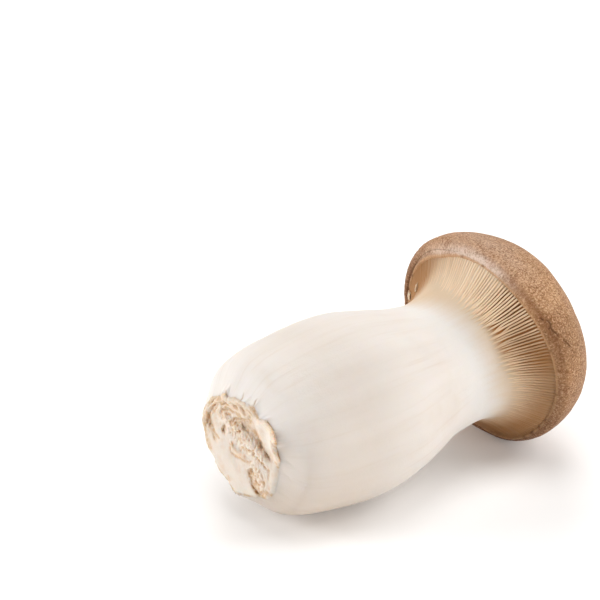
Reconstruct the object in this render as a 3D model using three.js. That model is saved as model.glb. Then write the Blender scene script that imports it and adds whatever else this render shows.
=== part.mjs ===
// A king oyster mushroom, as cut from its cluster: one solid, lying on its side.
// It rests on the belly of its stem and on the edge of its cap. The cut end points
// to -X and the cap to +X. The origin is at the middle of its box, on the surface
// that it lies on.
//
// The shape is a turned outline on a bent spine. The outline runs from the cut end
// along the stem, out under the cap to the margin, round the rim and over the dome.
// A place on it is a station, the distance along the spine, and a radius.

import * as THREE from 'three'
import { mergeVertices } from 'three/addons/utils/BufferGeometryUtils.js'

// --- Driving dimensions, in millimetres -----------------------------------------

const STEM_LENGTH = 81.5 // along the spine, from the cut end to the cap's margin
const CUT_RADIUS = 15.5 // the torn face where it was cut off
const CUT_EDGE = 1.2 // how far the edge of that face is rounded
const BELLY_RADIUS = 26.3 // the thickest part of the stem
const NECK_RADIUS = 18.7 // the thinnest, just under the cap

const MARGIN_RADIUS = 29.1 // where the gills end under the cap
const CAP_RADIUS = 32.1 // the widest part of the cap
const RIM_DEPTH = 2.1 // the rolled edge, from the margin to the widest part
const DOME_HEIGHT = 20.7 // from the widest part to the crown
const DOME_POWER = 0.8 // under 1, the dome has fuller shoulders than an ellipse

const SPINE_LENGTH = STEM_LENGTH + RIM_DEPTH + DOME_HEIGHT
const SPINE_BOW = 0.9 // how far the middle of the spine pulls sideways
const SPINE_DIP = 1.4 // how far the middle of the spine pulls down
const CROWN_RISE = 11.3 // the crown above the middle of the cut end

const CAP_LIFT = 0.4 // the cap sits off the stem's middle, upwards
const CAP_SHIFT = 3.0 // and sideways, to -Y
const STEM_OVAL = 0.08 // the stem is this much wider, and this much less tall
const SETTLE = 1.0 // how deep the flesh is pressed flat where it rests

// The cap's slow waves: how often each goes round, how far it moves the edge out
// and along the spine, and where it peaks, in degrees from the top towards -Y.
const CAP_WAVES = [
  { times: 1, out: 0, along: 1.0, peak: 10 },
  { times: 2, out: 0.65, along: 0.6, peak: 90 },
  { times: 3, out: 0.5, along: 0.4, peak: -30 },
]

// --- How finely it is faceted ----------------------------------------------------

const COLUMNS = 64 // round the spine
const CUT_ROWS = 2
const STEM_ROWS = 33
const RIM_ROWS = 4
const DOME_ROWS = 12

// --- The outline -------------------------------------------------------------------

// The stem's outline: radius, and station as a share of the stem's length.
function stemOutline() {
  const shape = [
    [CUT_RADIUS, CUT_EDGE / STEM_LENGTH],
    [18.1, 0.045],
    [22.0, 0.1],
    [24.3, 0.19],
    [25.7, 0.3],
    [BELLY_RADIUS, 0.41],
    [25.5, 0.52],
    [23.0, 0.63],
    [20.2, 0.73],
    [NECK_RADIUS, 0.83],
    [21.2, 0.92],
    [MARGIN_RADIUS, 1.0],
  ]
  const points = shape.map(([radius, share]) => new THREE.Vector2(radius, share * STEM_LENGTH))
  return new THREE.SplineCurve(points).getPoints(STEM_ROWS)
}

// The torn face, from the spine out to where its rounded edge begins.
function cutOutline() {
  const reach = CUT_RADIUS - CUT_EDGE
  return Array.from({ length: CUT_ROWS }, (_, i) => new THREE.Vector2((reach * i) / (CUT_ROWS - 1), 0))
}

// A quarter turn in equal steps, without its first angle.
function quarterTurn(steps) {
  return Array.from({ length: steps }, (_, i) => ((i + 1) / steps) * (Math.PI / 2))
}

function rimOutline() {
  const roll = CAP_RADIUS - MARGIN_RADIUS
  return quarterTurn(RIM_ROWS).map((turn) => new THREE.Vector2(
    MARGIN_RADIUS + roll * Math.sin(turn),
    STEM_LENGTH + RIM_DEPTH * (1 - Math.cos(turn)),
  ))
}

function domeOutline() {
  const outline = quarterTurn(DOME_ROWS).map((turn) => new THREE.Vector2(
    CAP_RADIUS * Math.cos(turn) ** DOME_POWER,
    STEM_LENGTH + RIM_DEPTH + DOME_HEIGHT * Math.sin(turn),
  ))
  outline.at(-1).x = 0 // the crown is exactly on the spine
  return outline
}

// --- From the straight outline to the grown shape -----------------------------------

const spine = new THREE.QuadraticBezierCurve3(
  new THREE.Vector3(0, 0, 0),
  new THREE.Vector3(SPINE_LENGTH / 2, -SPINE_BOW, -SPINE_DIP),
  new THREE.Vector3(SPINE_LENGTH, 0, CROWN_RISE),
)
const WORLD_UP = new THREE.Vector3(0, 0, 1)

// 0 along the lower half of the stem, rising to 1 at the cap.
function capShare(station) {
  return THREE.MathUtils.smoothstep(station, STEM_LENGTH / 2, STEM_LENGTH)
}

// How far the cap's waves move a point, out from the spine and along it.
function capWaves(radius, angle) {
  const reach = radius / CAP_RADIUS
  const wave = { out: 0, along: 0 }
  for (const { times, out, along, peak } of CAP_WAVES) {
    const swing = Math.cos(times * (angle - THREE.MathUtils.degToRad(peak))) * reach ** times
    wave.out += out * swing
    wave.along += along * swing
  }
  return wave
}

// The place of a point given by its station, its radius and its angle from the top.
function grownPoint(station, radius, angle) {
  const along = THREE.MathUtils.clamp(station / SPINE_LENGTH, 0, 1)
  const heading = spine.getTangent(along)
  const side = new THREE.Vector3().crossVectors(heading, WORLD_UP).normalize()
  const up = new THREE.Vector3().crossVectors(side, heading)
  const cap = capShare(station)
  const wave = capWaves(radius, angle)
  const oval = 1 - (1 - cap) * STEM_OVAL * Math.cos(2 * angle)
  const reach = radius * oval + cap * wave.out
  return spine.getPoint(along)
    .addScaledVector(up, reach * Math.cos(angle) + cap * CAP_LIFT)
    .addScaledVector(side, reach * Math.sin(angle) + cap * CAP_SHIFT)
    .addScaledVector(heading, cap * wave.along)
}

// Turns the outline round a straight spine, then moves every point to where it grew.
function grow(outline) {
  const geometry = new THREE.LatheGeometry(outline, COLUMNS)
  const position = geometry.attributes.position
  const turned = new THREE.Vector3()
  for (let i = 0; i < position.count; i++) {
    turned.fromBufferAttribute(position, i)
    const radius = Math.hypot(turned.x, turned.z)
    const grown = grownPoint(turned.y, radius, Math.atan2(turned.x, turned.z))
    position.setXYZ(i, grown.x, grown.y, grown.z)
  }
  return geometry
}

// --- Laying it down -------------------------------------------------------------------

// Puts the origin under the middle of the box, and presses flat what would go lower.
function layDown(geometry) {
  geometry.computeBoundingBox()
  const { min, max } = geometry.boundingBox
  geometry.translate(-(min.x + max.x) / 2, -(min.y + max.y) / 2, -min.z - SETTLE)
  const position = geometry.attributes.position
  for (let i = 0; i < position.count; i++) {
    position.setZ(i, Math.max(position.getZ(i), 0))
  }
}

function closedSurface(geometry) {
  geometry.deleteAttribute('normal')
  geometry.deleteAttribute('uv')
  const closed = mergeVertices(geometry)
  closed.computeVertexNormals()
  return closed
}

function makeMushroom() {
  const outline = [...cutOutline(), ...stemOutline(), ...rimOutline(), ...domeOutline()]
  const geometry = grow(outline)
  layDown(geometry)
  const flesh = new THREE.MeshStandardMaterial({ color: 0xede6dd, roughness: 0.6, metalness: 0 })
  const mushroom = new THREE.Mesh(closedSurface(geometry), flesh)
  mushroom.name = 'mushroom'
  return mushroom
}

const model = new THREE.Group()
model.add(makeMushroom())
export default model
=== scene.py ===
"""A king oyster mushroom, as cut from its cluster, lying on its side.

The stem, the cap, the gills and the torn cut end are closed pieces of their own, and
two crumbs of flesh lie on the gills. The stem and the cap are turned from one outline
round one bent spine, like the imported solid. Sizes are in millimetres until a mesh is
made, and then in metres.
"""

import math

import bpy
import numpy as np
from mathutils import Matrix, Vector, noise


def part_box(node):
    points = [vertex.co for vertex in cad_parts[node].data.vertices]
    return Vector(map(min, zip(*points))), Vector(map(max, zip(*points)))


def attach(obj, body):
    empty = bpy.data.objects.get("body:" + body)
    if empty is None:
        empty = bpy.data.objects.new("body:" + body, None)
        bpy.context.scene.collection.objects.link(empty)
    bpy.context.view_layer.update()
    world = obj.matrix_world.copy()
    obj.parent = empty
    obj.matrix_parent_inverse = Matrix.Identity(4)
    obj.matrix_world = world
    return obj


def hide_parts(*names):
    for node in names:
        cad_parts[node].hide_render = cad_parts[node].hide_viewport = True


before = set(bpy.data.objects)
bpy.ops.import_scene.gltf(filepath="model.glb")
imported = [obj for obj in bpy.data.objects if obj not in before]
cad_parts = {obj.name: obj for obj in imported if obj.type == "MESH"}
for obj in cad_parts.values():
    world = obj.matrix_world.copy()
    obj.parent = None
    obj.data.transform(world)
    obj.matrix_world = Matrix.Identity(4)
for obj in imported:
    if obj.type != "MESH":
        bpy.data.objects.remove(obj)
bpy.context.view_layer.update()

MM = 0.001
NODE = "mushroom"
BODY = "root"

# --- Driving dimensions, in millimetres and degrees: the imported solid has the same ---

STEM_LENGTH = 81.5
CUT_RADIUS = 15.5
CUT_EDGE = 1.2
BELLY_RADIUS = 26.3
NECK_RADIUS = 18.7
MARGIN_RADIUS = 29.1
CAP_RADIUS = 32.1
RIM_DEPTH = 2.1
DOME_HEIGHT = 20.7
DOME_POWER = 0.8
SPINE_LENGTH = STEM_LENGTH + RIM_DEPTH + DOME_HEIGHT
# The spine's middle control point is this far to -Y of the cut's centre and below it, and
# the crown is this far above it.
SPINE_BOW = 0.9
SPINE_DIP = 1.4
CROWN_RISE = 11.3
# The cap is set up and to one side of the spine, and the stem is wider than it is high.
CAP_LIFT = 0.4
CAP_SHIFT = 3.0
STEM_OVAL = 0.08
# How far the round shape would sink in where it lies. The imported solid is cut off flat
# there, and this one bends softly instead, over about the second length.
SETTLE = 1.0
SETTLE_SOFTNESS = 0.25
# Each wave: times round, out and along in mm, and where it peaks in degrees.
CAP_WAVES = ((1, 0.0, 1.0, 10), (2, 0.65, 0.6, 90), (3, 0.5, 0.4, -30))
# The stem's outline: radius in mm, and station as a share of the stem's length.
STEM_SHAPE = (
    (CUT_RADIUS, CUT_EDGE / STEM_LENGTH), (18.1, 0.045), (22.0, 0.10), (24.3, 0.19),
    (25.7, 0.30), (BELLY_RADIUS, 0.41), (25.5, 0.52), (23.0, 0.63), (20.2, 0.73),
    (NECK_RADIUS, 0.83), (21.2, 0.92), (MARGIN_RADIUS, 1.0),
)

# --- How finely the pieces are made ---

STEM_COLUMNS = 480
CAP_COLUMNS = 440


# --- Numbers ---------------------------------------------------------------------

def smoothstep(low, high, x):
    """0 below low, 1 above high, and smooth between."""
    t = np.clip((x - low) / (high - low), 0.0, 1.0)
    return t * t * (3.0 - 2.0 * t)


def hump(x, middle, width):
    """A smooth rise to 1 at the middle, and back to 0."""
    return np.exp(-((x - middle) / width) ** 2)


def turn_hump(angle, middle, width):
    """A hump round the spine, at a middle and with a width in degrees."""
    away = (np.degrees(angle) - middle + 180.0) % 360.0 - 180.0
    return np.exp(-(away / width) ** 2)


def cloud(points, size, octaves=3, seed=0):
    """Smooth random values of about -1 to 1, with lumps of a size in mm."""
    flat = points.reshape(-1, 3) / size + seed * 17.31
    values = [noise.fractal(p, 1.0, 2.0, octaves) for p in flat]
    return np.array(values).reshape(points.shape[:-1])


def path_distance(u, v, path):
    """How far each point (u, v) is from a line through the path's points."""
    nearest = np.full(np.broadcast(u, v).shape, np.inf)
    for (u0, v0), (u1, v1) in zip(path, path[1:]):
        du, dv = u1 - u0, v1 - v0
        t = np.clip(((u - u0) * du + (v - v0) * dv) / (du * du + dv * dv), 0, 1)
        nearest = np.minimum(nearest, np.hypot(u - u0 - t * du, v - v0 - t * dv))
    return nearest


def spline(knots, steps):
    """A smooth curve through the knots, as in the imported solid."""
    knots = np.asarray(knots, float)
    last = len(knots) - 1
    t = np.linspace(0, last, steps + 1)
    i = np.minimum(t.astype(int), last - 1)
    w = (t - i)[:, None]
    p0, p1 = knots[np.maximum(i - 1, 0)], knots[i]
    p2, p3 = knots[i + 1], knots[np.minimum(i + 2, last)]
    v0, v1 = (p2 - p0) / 2, (p3 - p1) / 2
    return (2 * p1 - 2 * p2 + v0 + v1) * w**3 + (3 * p2 - 3 * p1 - 2 * v0 - v1) * w**2 + v0 * w + p1


def respaced(outline, step):
    """The same outline with its points a step apart."""
    lengths = np.r_[0, np.cumsum(np.linalg.norm(np.diff(outline, axis=0), axis=1))]
    even = np.linspace(0, lengths[-1], max(2, round(lengths[-1] / step) + 1))
    return np.stack([np.interp(even, lengths, outline[:, k]) for k in (0, 1)], axis=1)


def sorted_by(keys, values):
    """The keys in rising order, and each one's value."""
    order = np.argsort(keys)
    return keys[order], values[order]


def outline_normals(outline):
    """Unit normals of an outline of radius and station, pointing out of the flesh."""
    along = np.gradient(outline, axis=0)
    normals = np.stack([along[:, 1], -along[:, 0]], axis=1)
    return normals / np.linalg.norm(normals, axis=1, keepdims=True)


def evened(values, reach):
    """Values in columns round the spine, each the mean of those within reach of it."""
    return np.mean([np.roll(values, k, axis=1) for k in range(-reach, reach + 1)], axis=0)


def by_turn(table, angle):
    """What a table of (angle in degrees, amount) says between its entries."""
    degrees, amount = np.array(table, float).T
    return np.interp(np.degrees(angle), degrees, amount, period=360)


def mm_round(radius, angle, middle):
    """How far round the skin each angle is from a middle in degrees."""
    return radius * np.radians((np.degrees(angle) - middle + 180) % 360 - 180)


# --- The grown shape ---------------------------------------------------------------

def spine_frame(station):
    """The spine's point, heading, side and up at each station."""
    end = np.array([SPINE_LENGTH, 0.0, CROWN_RISE])
    middle = np.array([SPINE_LENGTH / 2, -SPINE_BOW, -SPINE_DIP])
    t = np.clip(station / SPINE_LENGTH, 0.0, 1.0)[..., None]
    point = 2 * t * (1 - t) * middle + t**2 * end
    heading = 2 * (1 - t) * middle + 2 * t * (end - middle)
    heading /= np.linalg.norm(heading, axis=-1, keepdims=True)
    past = (station - np.clip(station, 0.0, SPINE_LENGTH))[..., None]
    side = np.cross(heading, [0.0, 0.0, 1.0])
    side /= np.linalg.norm(side, axis=-1, keepdims=True)
    return point + past * heading, heading, side, np.cross(side, heading)


def grown(station, radius, angle):
    """The place of points given by station, radius, and angle from the top to -Y."""
    point, heading, side, up = spine_frame(station)
    cap = smoothstep(STEM_LENGTH / 2, STEM_LENGTH, station)
    reach = radius / CAP_RADIUS
    out = np.zeros(np.broadcast(station, radius, angle).shape)
    along = out.copy()
    for times, wave_out, wave_along, peak in CAP_WAVES:
        swing = np.cos(times * (angle - math.radians(peak))) * reach**times
        out += wave_out * swing
        along += wave_along * swing
    oval = 1 - (1 - cap) * STEM_OVAL * np.cos(2 * angle)
    spoke = radius * oval + cap * out
    return (point
            + (spoke * np.cos(angle) + cap * CAP_LIFT)[..., None] * up
            + (spoke * np.sin(angle) + cap * CAP_SHIFT)[..., None] * side
            + (cap * along)[..., None] * heading)


def row_at(station, radius, angle):
    """A row of places round the spine."""
    return grown(station + 0 * angle, radius + 0 * angle, angle)


def angles(columns):
    """Angles all the way round, the same step apart."""
    return np.linspace(0, 2 * math.pi, columns, endpoint=False)


def stem_outline(steps=400):
    """Radius and station from the cut to the margin."""
    knots = [(radius, share * STEM_LENGTH) for radius, share in STEM_SHAPE]
    return spline(knots, steps)


def rim_and_dome_outline(steps=200):
    """Radius and station from the margin, over the rim, to the crown."""
    turn = np.linspace(0, math.pi / 2, steps)[1:]
    rim = np.stack([MARGIN_RADIUS + (CAP_RADIUS - MARGIN_RADIUS) * np.sin(turn),
                    STEM_LENGTH + RIM_DEPTH * (1 - np.cos(turn))], axis=1)
    dome = np.stack([CAP_RADIUS * np.maximum(np.cos(turn), 0) ** DOME_POWER,
                     STEM_LENGTH + RIM_DEPTH + DOME_HEIGHT * np.sin(turn)], axis=1)
    return np.concatenate([rim, dome])


def whole_outline():
    """Radius, station and normal all along the outline, and the distance past the margin."""
    stem = respaced(stem_outline(), 0.1)
    outline = np.concatenate([stem, respaced(rim_and_dome_outline(), 0.1)])
    distance = np.r_[0, np.cumsum(np.linalg.norm(np.diff(outline, axis=0), axis=1))]
    return distance - distance[len(stem) - 1], outline, outline_normals(outline)


DISTANCE, OUTLINE, NORMAL = whole_outline()
BACK_TO_CUT = -DISTANCE[0]


def skin_at(distance, angle, lift):
    """The place at a distance past the margin, or before it if negative, lifted off."""
    radius, station = (np.interp(distance, DISTANCE, OUTLINE[:, k]) for k in (0, 1))
    normal_out, normal_along = (np.interp(distance, DISTANCE, NORMAL[:, k]) for k in (0, 1))
    return grown(station + lift * normal_along, radius + lift * normal_out, angle)


def laid_offset():
    """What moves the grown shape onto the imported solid's place."""
    outline = np.concatenate([stem_outline(40), rim_and_dome_outline(40)])
    places = grown(outline[:, 1:], outline[:, :1], angles(64)[None]).reshape(-1, 3)
    low, high = places.min(axis=0), places.max(axis=0)
    solid_low, solid_high = (np.array(corner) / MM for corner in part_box(NODE))
    offset = (solid_low + solid_high - low - high) / 2
    offset[2] = solid_low[2] - low[2] - SETTLE
    return offset


OFFSET = laid_offset()


def laid(places):
    """Places moved onto the surface, and pressed flat where they would go below it."""
    places = places + OFFSET
    z = places[..., 2]
    places[..., 2] = (z + np.sqrt(z * z + SETTLE_SOFTNESS**2)) / 2
    return places


# --- Meshes --------------------------------------------------------------------------

def make_object(name, vertices, faces):
    """A smooth mesh in the scene, from vertices in millimetres."""
    mesh = bpy.data.meshes.new(name)
    mesh.from_pydata((vertices * MM).tolist(), [], faces)
    mesh.validate()
    mesh.shade_smooth()
    piece = bpy.data.objects.new(name, mesh)
    bpy.context.scene.collection.objects.link(piece)
    return piece


def store(piece, name, values):
    """Keeps a number or a vector at each point of a piece."""
    values = np.asarray(values, np.float32)
    kind, field = ("FLOAT_VECTOR", "vector") if values.ndim == 2 else ("FLOAT", "value")
    attribute = piece.data.attributes.new(name, kind, "POINT")
    attribute.data.foreach_set(field, values.ravel())


def turned_piece(name, places, extra):
    """A closed piece from rows of places round the spine. The first and last rows are
    poles. extra holds the values to store, in the same rows and columns or one for all."""
    rows, columns = places.shape[:2]
    vertices = np.concatenate([places[0, :1], places[1:-1].reshape(-1, 3), places[-1, :1]])
    end = len(vertices) - 1

    def ring(row):
        return 1 + (row - 1) * columns

    faces = []
    for j in range(columns):
        k = (j + 1) % columns
        faces.append((0, ring(1) + k, ring(1) + j))
        for row in range(1, rows - 2):
            low, high = ring(row), ring(row + 1)
            faces.append((low + j, low + k, high + k, high + j))
        faces.append((ring(rows - 2) + j, ring(rows - 2) + k, end))
    piece = make_object(name, vertices, faces)
    for key, values in extra.items():
        values = np.broadcast_to(values, places.shape[:2] + values.shape[2:])
        flat = values[1:-1].reshape((-1,) + values.shape[2:])
        store(piece, key, np.concatenate([values[0, :1], flat, values[-1, :1]]))
    return piece


def closed_rows(values, shape, before, after):
    """Values for a piece's rows and columns. Its closing rows take those next to them."""
    return np.pad(np.broadcast_to(values, shape), ((before, after), (0, 0)), mode="edge")


def grain_of(distance, angle, radius):
    """Coordinates that follow the surface, with no seam: round it, and along it."""
    distance, angle = np.broadcast_arrays(distance, angle)
    return np.stack([radius * np.cos(angle), radius * np.sin(angle), distance], axis=-1)


# --- The torn end ------------------------------------------------------------------------------

TORN_COLUMNS = 480
TORN_RINGS = 110
# The torn face is drawn in mm on the cut: u towards -Y, v up. Raised flesh leans over.
LEAN_SIDE = 1.34
LEAN_UP = 0.77
FACE_TILT = 0.075
FACE_DEPTH = 1.2
# The face's edge, as (u, v), clockwise from the top.
FACE_EDGE = (
    (0, 13.3), (3, 13.8), (5, 14.2), (8, 14.5), (9.5, 13.6), (10.4, 12.2), (12, 12.7), (13.6, 13.1),
    (15.2, 12.6), (16.7, 11.7), (17.9, 10.3), (18.2, 9), (18.2, 7.9), (18.8, 6.8), (19.4, 5.5),
    (20, 4.0), (19.6, 2.5), (19, 1), (18.7, -1), (18, -3.5), (17, -6.5), (15.5, -8.7), (13, -10.3),
    (10, -11.2), (7.5, -12.5), (5, -13.3), (3, -14), (0, -14.9), (-2, -14), (-3.5, -12.6),
    (-6, -11.9), (-8.3, -11), (-9.7, -9.9), (-10.2, -8.6), (-11.6, -7.6), (-13.2, -6.9),
    (-14.4, -5.3), (-15, -3), (-16, 0.5), (-15.7, 3), (-14.5, 5), (-13.5, 6.6), (-12.3, 8.5),
    (-11, 9.6), (-9, 10.5), (-7, 11.2), (-6.4, 12.7), (-5, 13.1), (-3.8, 12.5), (-2, 13.0))
# The smooth side, where the edge is rounder and isn't tan: its middle and half width.
SMOOTH_SIDE = (112, 30)
# How far the skin stands outside the face's edge and behind it, so that no gap shows.
SKIN_OUTSIDE = 0.03
SKIN_BEHIND = 0.05
# The ragged band inside the edge, the crumbly middle, and the crumbs below it.
FRINGE = ((-15, 1), (-13.5, 4.5), (-10.5, 8), (-7, 10.2), (-3, 11.6), (2, 12.4), (7, 12.8))
CORE = ((-4, 5.5), (0, 5), (4, 3.5), (8, 2.6), (12, 1.6))
LOWER_CRUMBS = ((8.5, -4.5), (11, -5.5), (12.5, -7))
# What stands out of the face or is sunk in it, and its tan and brown, partly dried stain and partly painted
# shade in what is sunk: height, tan, brown, half width and the path that it follows. First the large folds,
# which lean over.
FOLDS = (
    (0.5, 0.0, 0.0, 1.8, FRINGE),
    (0.7, 0.1, 0.0, 0.8, ((-6, 12.2), (-5, 12.6))),
    (-0.7, 0.55, 0.10, 1.4, ((4.5, 7.5), (8, 7.6), (10, 6.6), (11.6, 5.6))),
    (-0.6, 0.45, 0.10, 1.0, ((12.5, 5.0), (15.8, 3.4))),
    (0.8, 0.0, 0.0, 2.0, CORE),
    (1.5, 0.0, 0.0, 1.25, ((10.8, 11.2), (13, 11.7), (15.6, 10.8), (16.8, 8.6))),
    (0.8, 0.0, 0.0, 0.75, ((15.8, 7.6), (17.4, 5.6), (18.8, 3.6))),
    (-0.5, 0.9, 0.3, 1.1, ((7.4, -5.2), (8.2, -7.4), (9.8, -9.0), (12.0, -9.6))),
    (0.4, 0.15, 0.0, 2.4, ((9.5, -3), (12.5, -5))),
    (-0.8, 0.7, 0.3, 0.8, ((-5.3, 2.0), (-4.7, 3.4))),
    (0.5, 0.4, 0.0, 0.9, ((-1.6, -0.6), (-1.0, -2.0), (1, -2.2), (4, -1.6))),
    (0.3, 0.0, 0.0, 4.0, ((-6, -5), (0, -8))),
    (-0.35, 0.7, 0.1, 1.0, ((-12.2, 3.5), (-10.8, 0.5), (-9.6, -2.2))))
# Then the small ridges and clefts on the folds.
RIDGES = (
    (-0.22, 0.7, 0.1, 0.38, ((-12.6, 6.6), (-10.5, 9.2), (-6.6, 10.7))),
    (-0.25, 0.8, 0.1, 0.36, ((-10.4, 6.8), (-8, 9.0), (-5.4, 10.2), (-4, 10.3))),
    (-0.30, 0.9, 0.2, 0.36, ((-6.3, 5.5), (-5.8, 7.6), (-3, 9.3), (0, 9.8), (2, 9.6))),
    (0.25, 0.0, 0.0, 0.50, ((-8.5, 6.2), (-6.5, 8.3), (-3, 10.2), (2, 10.9), (6, 10.7))),
    (-0.22, 0.7, 0.1, 0.32, ((-5.0, 5.6), (-4.2, 7.2), (-2.2, 8.3))),
    (-0.30, 0.8, 0.3, 0.42, ((-1.6, 6.3), (0.2, 8.0), (3, 9.0), (6, 9.5), (7.6, 10.0))),
    (-0.20, 0.7, 0.1, 0.32, ((-1.4, 5.3), (0.6, 6.8), (2.6, 7.8))),
    (-0.20, 0.6, 0.3, 0.50, ((6.2, 10.2), (6.8, 11.2))),
    (-0.22, 0.6, 0.1, 0.32, ((-12.6, 2.0), (-11.8, 4.4), (-10.4, 6.4))),
    (-0.25, 0.7, 0.1, 0.45, ((-13.4, 1.4), (-10.8, 1.0), (-9.2, -0.8), (-7.6, -1.2))),
    (-0.30, 0.6, 0.4, 0.60, ((8.9, 8.1), (9.8, 7.1), (11.4, 5.9))),
    (-0.30, 0.4, 0.8, 0.60, ((7.8, -8.6), (8.8, -9.3), (9.8, -9.4))),
    (-0.35, 0.5, 0.5, 0.30, ((8.4, 0.6), (10.6, 0.7), (12.6, 0.1), (14.8, -0.6))),
    (-0.35, 0.7, 0.3, 0.32, ((6.3, 1.0), (7.6, 1.6), (8.8, 2.6))),
    (-0.35, 0.8, 0.4, 0.36, ((0.9, 4.0), (1.6, 4.6), (2.6, 5.2))),
    (-0.30, 0.8, 0.1, 0.40, ((1.8, 2.6), (3.0, 3.2))),
    (-0.25, 0.6, 0.0, 0.36, ((2.6, -0.4), (3.6, 0.9))),
    (-0.20, 0.9, 0.2, 0.40, ((-2.5, -1.0), (-2.0, -2.9), (0.2, -3.4), (3, -2.9), (6, -2.4))),
    (-0.30, 0.9, 0.3, 0.75, ((10.5, -9.5), (13, -8.6), (15.5, -7.7))),
    (-0.45, 0.8, 0.6, 0.36, ((14.2, 12.9), (15.8, 12.0), (17.4, 10.4), (17.9, 8.6))),
    (-0.25, 0.8, 0.5, 0.26, ((18.0, 7.6), (18.7, 6.0), (19.6, 4.4))),
    (-0.25, 0.7, 0.3, 0.30, ((16.2, 8.2), (17.6, 7.7))),
    (-0.25, 0.8, 0.4, 0.30, ((7.6, -4.6), (9.6, -4.7))),
    (-0.25, 0.8, 0.3, 0.30, ((9.6, -6.6), (11, -6.9))),
    (-0.20, 0.7, 0.1, 0.30, ((11.6, -5.6), (13.6, -4.8))),
    (-0.15, 0.8, 0.0, 0.36, ((15.4, -0.4), (15.4, -3.0))),
    (-0.10, 0.9, 0.2, 0.36, ((-9.5, -10), (-6.5, -11.6), (-4, -12.2), (-1.8, -13.7), (0, -14.6),
                             (3, -13.8), (5.5, -12.9), (7.5, -12.3))),
    (0.0, 0.7, 0.3, 0.70, ((-14.4, -3.5), (-13.4, -5.6), (-13, -6.6))),
    (-0.20, 0.8, 0.4, 0.45, ((7.4, 14.0), (9.3, 13.2), (10.0, 12.2))),
    (0.0, 0.6, 0.0, 0.60, ((-2.5, -11.2), (-4.2, -12))),
    (0.0, 0.7, 0.1, 0.90, ((-14.4, -0.5), (-13.4, -4.0), (-12, -6))),
    (-0.15, 0.8, 0.2, 0.40, ((18.3, 3.2), (18.9, 2.0))))


def face_edge(angle):
    """How far the face reaches at an angle from up towards -Y."""
    u, v = np.array(FACE_EDGE, float).T
    return np.interp(np.degrees(angle), np.degrees(np.arctan2(u, v)), np.hypot(u, v), period=360)


def torn_surface(u, v):
    """The height of the torn face's folds, and of the shreds on them, and how tan and how brown it is:
    partly dried stain, and partly painted shade in its hollows."""
    flat = np.stack([u, v, 0 * u], axis=-1)
    bent_u, bent_v = (x + 0.4 * cloud(flat, 1.8, 2, seed=seed) for x, seed in ((u, 20), (v, 21)))

    def near(path, width):
        return np.exp(-(path_distance(bent_u, bent_v, path) / width) ** 2)

    def summed(features):
        """The height, the tan and the brown that the features give together."""
        total = np.zeros((3,) + u.shape)
        for *amounts, width, path in features:
            total += np.reshape(amounts, (3, 1, 1)) * near(path, width)
        return total

    folds, fold_tan, fold_brown = summed(FOLDS)
    shreds, ridge_tan, ridge_brown = summed(RIDGES)
    folds = folds - FACE_DEPTH - FACE_TILT * u + 0.15 * cloud(flat, 4.5, 2, seed=25)
    shreds = shreds + 0.05 * cloud(flat, 1.6, 3, seed=26)

    fringe = near(FRINGE, 3.4)
    crumbly = np.clip(1.2 * near(CORE, 3.6) + near(LOWER_CRUMBS, 3.0), 0, 1)
    # fibres that follow the rim
    ringed = grain_of(np.hypot(bent_u, bent_v), np.arctan2(bent_u, bent_v), 3.0)
    fibres = 1 - 2.5 * np.abs(cloud(ringed, 1.3, 4, seed=22))
    # strings and crumbs
    warp = np.stack([bent_u, bent_v, 0 * u], axis=-1)
    strings = 1 - 2.5 * np.abs(cloud(warp * [1.0, 0.55, 1], 1.5, 4, seed=23))
    crumbs = cloud(warp, 0.8, 3, seed=24)
    rough = fringe * 0.30 * (fibres - 0.3) + crumbly * (0.28 * (strings - 0.3) + 0.26 * crumbs)
    shreds = shreds + rough
    # the hollows between the shreds are painted tan and brown, partly dried stain and partly painted shade
    hollow = np.clip(0.06 - rough, 0, 0.4)
    patches = 0.35 * np.clip(cloud(flat, 3.5, 3, seed=27), 0, 1)
    tan = (1.2 * (fold_tan + ridge_tan) + patches + 2.6 * hollow + 0.55 * fringe + 0.2 * crumbly
           - 0.8 * np.clip(rough - 0.08, 0, 1))
    brown = 1.3 * (fold_brown + ridge_brown) + 1.6 * np.clip(hollow - 0.08, 0, 1)
    return folds, shreds, tan, brown


def on_cut(u, v, folds, shreds):
    """A point of the torn face, as drawn, in its place."""
    point, heading, side, up = spine_frame(np.zeros(1))
    u, v = u + LEAN_SIDE * folds, v + LEAN_UP * folds
    return point + u[..., None] * side + v[..., None] * up - (folds + shreds)[..., None] * heading


def torn_face():
    """The rows of the face, from its middle outwards, with the stains."""
    angle = angles(TORN_COLUMNS)[None]
    share = np.linspace(0, 1, TORN_RINGS)[:, None]
    edge = grain_of(0 * angle, angle, 15.0)
    ragged = 0.35 * cloud(edge, 3.5, 5, seed=30) + 0.12 * cloud(edge, 0.8, 3, seed=31)
    reach = share * (face_edge(angle) + ragged)
    u, v = reach * np.sin(angle), reach * np.cos(angle)
    folds, shreds, tan, brown = torn_surface(u, v)
    # round its edge off towards the skin, most of all on the smooth lower side
    smooth_side = turn_hump(angle, *SMOOTH_SIDE)
    rim = smoothstep(0.90, 1.0, share)
    shreds = shreds * (1 - 0.7 * rim) - (0.25 + 0.5 * smooth_side) * rim**2
    stained = 0.5 + 1.2 * cloud(edge, 3.0, 2, seed=32)
    tan = tan + 0.7 * smoothstep(0.94, 1.0, share) * (1 - smooth_side) * stained
    return u, v, folds, shreds, np.clip(tan, 0, 1), np.clip(brown, 0, 1)


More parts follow.
